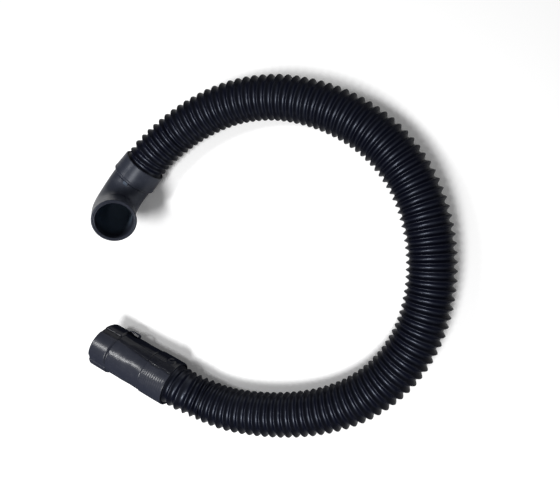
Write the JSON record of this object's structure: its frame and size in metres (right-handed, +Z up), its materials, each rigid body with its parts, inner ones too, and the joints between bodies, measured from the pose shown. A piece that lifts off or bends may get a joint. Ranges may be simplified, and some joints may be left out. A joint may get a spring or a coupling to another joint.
{
  "type": "washing machine drain hose",
  "caption": "Black corrugated drain hose lying in an open loop, with a bent rubber elbow held by a collar on one end and a straight push-on cuff with a lobed end ring on the other.",
  "frame": {"origin": "middle of the outline, on the floor that the hose lies on", "axes": "+Z up; the loop lies level and opens towards -X, with the elbow on the +Y side and the straight cuff on the -Y side"},
  "size_m": [0.3421, 0.3213, 0.0753],
  "materials": {
    "hose_plastic": "glossy black blow-moulded polypropylene with fine ribs",
    "elbow_rubber": "smooth black moulded rubber, slightly scuffed",
    "cuff_plastic": "black moulded plastic with a soft satin sheen"
  },
  "bodies": {
    "root": {"corrugated_hose": "hose_plastic", "elbow_collar": "elbow_rubber", "elbow": "elbow_rubber", "cuff_sleeve": "cuff_plastic", "straight_cuff": "cuff_plastic", "end_ring": "cuff_plastic"}
  },
  "joints": []
}
